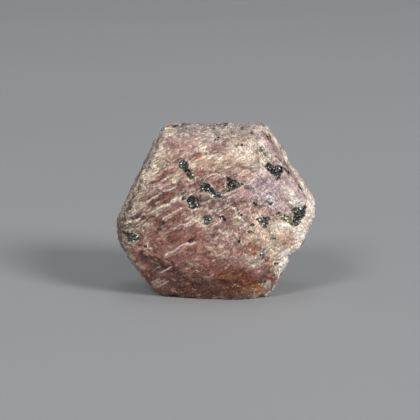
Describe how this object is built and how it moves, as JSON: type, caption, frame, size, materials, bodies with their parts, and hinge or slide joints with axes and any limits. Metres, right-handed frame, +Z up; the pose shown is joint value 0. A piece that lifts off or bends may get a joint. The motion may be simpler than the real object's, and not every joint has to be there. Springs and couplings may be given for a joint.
{
  "type": "ruby crystal",
  "caption": "Stout six-sided prism of opaque natural ruby with worn edges, parting ledges and dark mineral grains, standing on one prism face.",
  "frame": {"origin": "on the rest face, straight below the crystal's own axis", "axes": "+X to the right across the six-sided outline, +Y along the crystal's axis from the front basal face to the back one, +Z up"},
  "size_m": [0.0299, 0.0156, 0.0254],
  "materials": {
    "ruby": "opaque dusky pink corundum with cream partings and black grains, half glossy"
  },
  "bodies": {
    "root": {"ruby_crystal": "ruby"}
  },
  "joints": []
}
